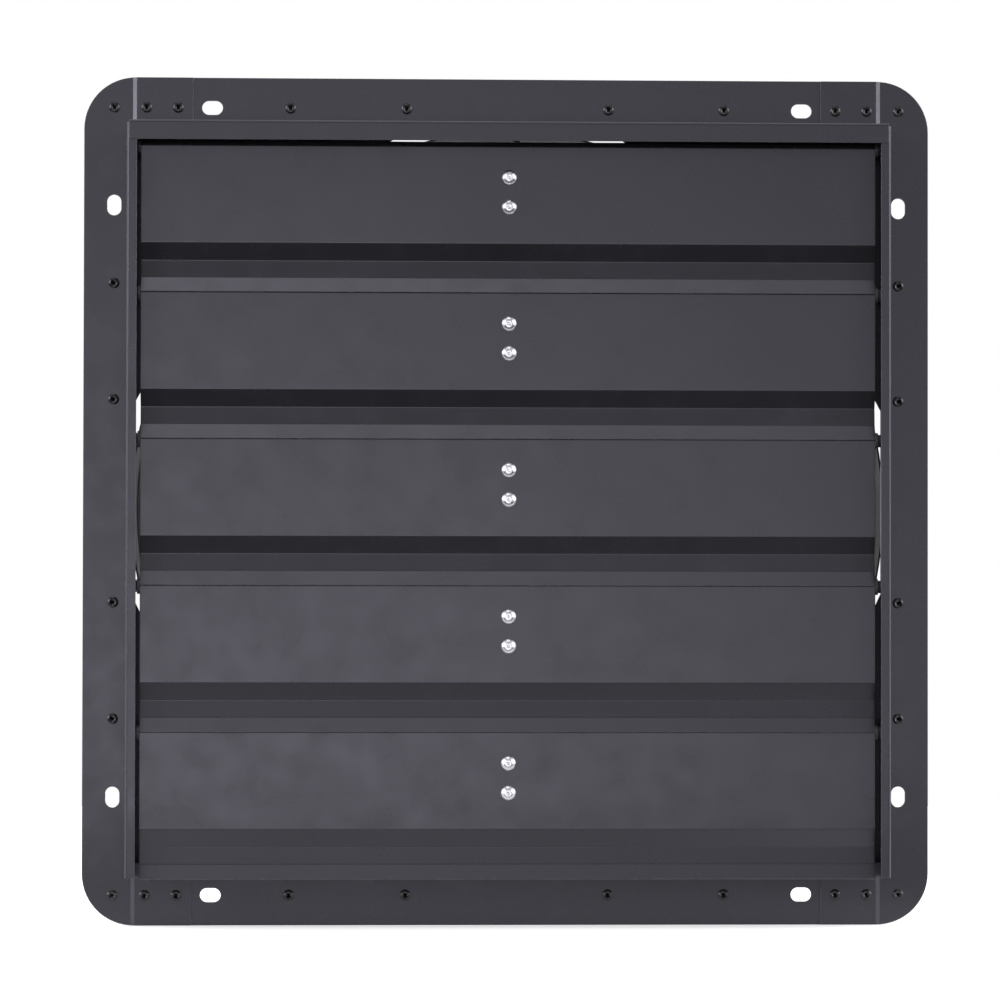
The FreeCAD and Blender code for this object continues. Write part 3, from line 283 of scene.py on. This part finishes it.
def laminations(name, colour):
    """A stack of thin steel sheets, seen from the side as fine lines along the shaft."""
    g = Finish(name)
    wave = g.add("ShaderNodeTexWave")
    wave.bands_direction = "Y"
    wave.inputs["Scale"].default_value = 320.0
    g.join(g.place, wave.inputs["Vector"])
    sheets = wave.outputs["Fac"]
    g.look(
        Base_Color=g.blend(sheets, shade(colour, 0.55), colour),
        Roughness=g.remap(g.noise(200.0), 0.3, 0.7, 0.32, 0.5),
        Normal=g.bump(sheets, 0.00008, 0.6),
        Metallic=0.9)
    return g.material


def enamelled_wire(name, colour):
    """Close turns of enamelled copper wire."""
    g = Finish(name)
    turns = g.noise(700.0, 1.0, 0.4, (1, 0.15, 1))
    g.look(
        Base_Color=g.blend(turns, shade(colour, 0.6), colour),
        Roughness=g.remap(turns, 0.3, 0.7, 0.22, 0.38),
        Normal=g.bump(turns, 0.0003, 0.8),
        Metallic=0.85, Coat_Weight=0.5)
    return g.material


finishes = {
    "frame": powder_coat("frame_paint", (0.010, 0.0095, 0.0115), 0.28),
    "louvre": powder_coat("louvre_paint", (0.010, 0.010, 0.012), 0.25),
    "drum": powder_coat("drum_paint", (0.008, 0.008, 0.009), 0.5, shine=0.12),
    "guard": powder_coat("guard_paint", (0.022, 0.022, 0.025), 0.36),
    "enamel": powder_coat("motor_paint", (0.025, 0.025, 0.028), 0.28, edge=0.0008),
    "black_rivet": blackened_rivet("black_rivet", (0.004, 0.004, 0.0045), 0.14),
    "bright_rivet": bare_metal("bright_aluminium", (0.82, 0.82, 0.85), 0.26),
    "blade": bare_metal("mill_aluminium", (0.74, 0.75, 0.77), 0.34, (1, 1, 14), 260.0),
    "steel": bare_metal("plated_steel", (0.60, 0.60, 0.58), 0.30),
    "lamination": laminations("lamination_steel", (0.36, 0.36, 0.37)),
    "copper": enamelled_wire("winding_copper", (0.60, 0.26, 0.12)),
    "nylon": moulded("black_nylon", (0.03, 0.03, 0.033), 0.45),
    "capacitor": moulded("capacitor_case", (0.78, 0.77, 0.72), 0.35),
}

# A node takes the finish of the first of these words that is in its name.
finish_words = [
    ("end_plugs", "nylon"), ("link_bracket", "steel"),
    ("flange_rivets", "black_rivet"), ("drum_rivets", "black_rivet"),
    ("_rivets", "bright_rivet"), ("rail", "frame"), ("gusset", "frame"),
    ("fan_blade", "blade"), ("pivot_bushes", "nylon"), ("tie_bar_pins", "steel"),
    ("tie_bar", "blade"), ("_screw", "steel"), ("through_bolts", "steel"),
    ("guard", "guard"), ("drum", "drum"), ("fan_hub", "steel"), ("motor_shaft", "steel"),
    ("bearing", "steel"), ("rotor_core", "lamination"), ("stator_core", "lamination"),
    ("stator_windings", "copper"), ("motor", "enamel"), ("mount_spacers", "steel"),
    ("terminal", "nylon"), ("cable_gland", "nylon"), ("run_capacitor", "capacitor"),
    ("louvre", "louvre"),
]


def dress_nodes():
    """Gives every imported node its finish."""
    for name, node in nodes.items():
        finish = next(finish for word, finish in finish_words if word in name)
        node.data.materials.clear()
        node.data.materials.append(finishes[finish])


def floor_material():
    """White to the camera, and in what mirrors it less and less towards the camera."""
    material = bpy.data.materials.new("floor_white")
    g = Graph(material)
    place = g.add("ShaderNodeTexCoord").outputs["Object"]
    fade = g.remap(g.along("Y", place), *floor_fade, floor_far)
    seen = g.rays(fade)
    matt = g.add("ShaderNodeBsdfDiffuse")
    shown = g.value("MAXIMUM", seen, fade)
    g.join(g.value("MULTIPLY", shown, floor_white), matt.inputs["Color"])
    glow = g.add("ShaderNodeEmission")
    g.join(g.value("MULTIPLY", seen, floor_lift), glow.inputs["Strength"])
    both = g.add("ShaderNodeAddShader")
    g.join(matt.outputs[0], both.inputs[0])
    g.join(glow.outputs[0], both.inputs[1])
    g.join(both.outputs[0], g.add("ShaderNodeOutputMaterial").inputs[0])
    return material


def lay_floor():
    """A plain floor that keeps the object's shadow."""
    mesh = bpy.data.meshes.new("floor")
    corners = [
        (-floor_half_width, -floor_front, cad_low.z), (floor_half_width, -floor_front, cad_low.z),
        (floor_half_width, floor_back, cad_low.z), (-floor_half_width, floor_back, cad_low.z)]
    mesh.from_pydata(corners, [], [(0, 1, 2, 3)])
    mesh.materials.append(floor_material())
    floor = bpy.data.objects.new("floor", mesh)
    bpy.context.scene.collection.objects.link(floor)


def soft_lamp(g, direction, azimuth, elevation, spread, brightness):
    """The light of one broad lamp of the studio, which fades smoothly from its middle."""
    a, e = math.radians(azimuth), math.radians(elevation)
    aim = Vector((math.sin(a) * math.cos(e), -math.cos(a) * math.cos(e), math.sin(e)))
    sharpness = 1.0 / math.radians(spread) ** 2
    falloff = g.value("MULTIPLY_ADD", g.dot(direction, aim), sharpness, -sharpness)
    return g.value("MULTIPLY", g.value("EXPONENT", falloff), brightness)


def light_studio():
    """The room round the object: plain white to the camera, and soft lamps for the light."""
    world = bpy.data.worlds.new("studio")
    bpy.context.scene.world = world
    g = Graph(world)
    direction = g.add("ShaderNodeTexCoord").outputs["Generated"]
    behind = g.ramp(g.along("Y", direction), *behind_ramp)
    above = g.ramp(g.along("Z", direction), *above_ramp)
    dim = g.value("MULTIPLY_ADD", above, studio_above - studio_below, studio_below)
    total = g.value("MULTIPLY_ADD", behind, studio_behind, dim)
    for lamp in studio_lamps:
        total = g.value("ADD", total, soft_lamp(g, direction, *lamp))

    lit = g.add("ShaderNodeBackground")
    g.put(studio_tint, lit.inputs["Color"])
    g.join(total, lit.inputs["Strength"])
    seen = g.add("ShaderNodeBackground")
    g.put(plain_white, seen.inputs["Color"])
    mix = g.add("ShaderNodeMixShader")
    g.join(g.rays(behind), mix.inputs[0])
    g.join(lit.outputs[0], mix.inputs[1])
    g.join(seen.outputs[0], mix.inputs[2])
    g.join(mix.outputs[0], g.add("ShaderNodeOutputWorld").inputs[0])


def photo_camera():
    """The camera at the photograph's viewpoint."""
    data = bpy.data.cameras.new("camera")
    data.sensor_width = sensor_width
    data.lens = camera_focal_share * sensor_width
    camera = bpy.data.objects.new("camera", data)
    bpy.context.scene.collection.objects.link(camera)
    turn = (Matrix.Rotation(-math.radians(camera_yaw), 4, "Z")
            @ Matrix.Rotation(math.radians(90.0 - camera_pitch), 4, "X")
            @ Matrix.Rotation(math.radians(camera_roll), 4, "Z"))
    camera.matrix_world = Matrix.Translation(camera_place) @ turn
    bpy.context.scene.camera = camera


dress_nodes()
lay_floor()
light_studio()
photo_camera()

bpy.context.scene.view_settings.view_transform = "Standard"
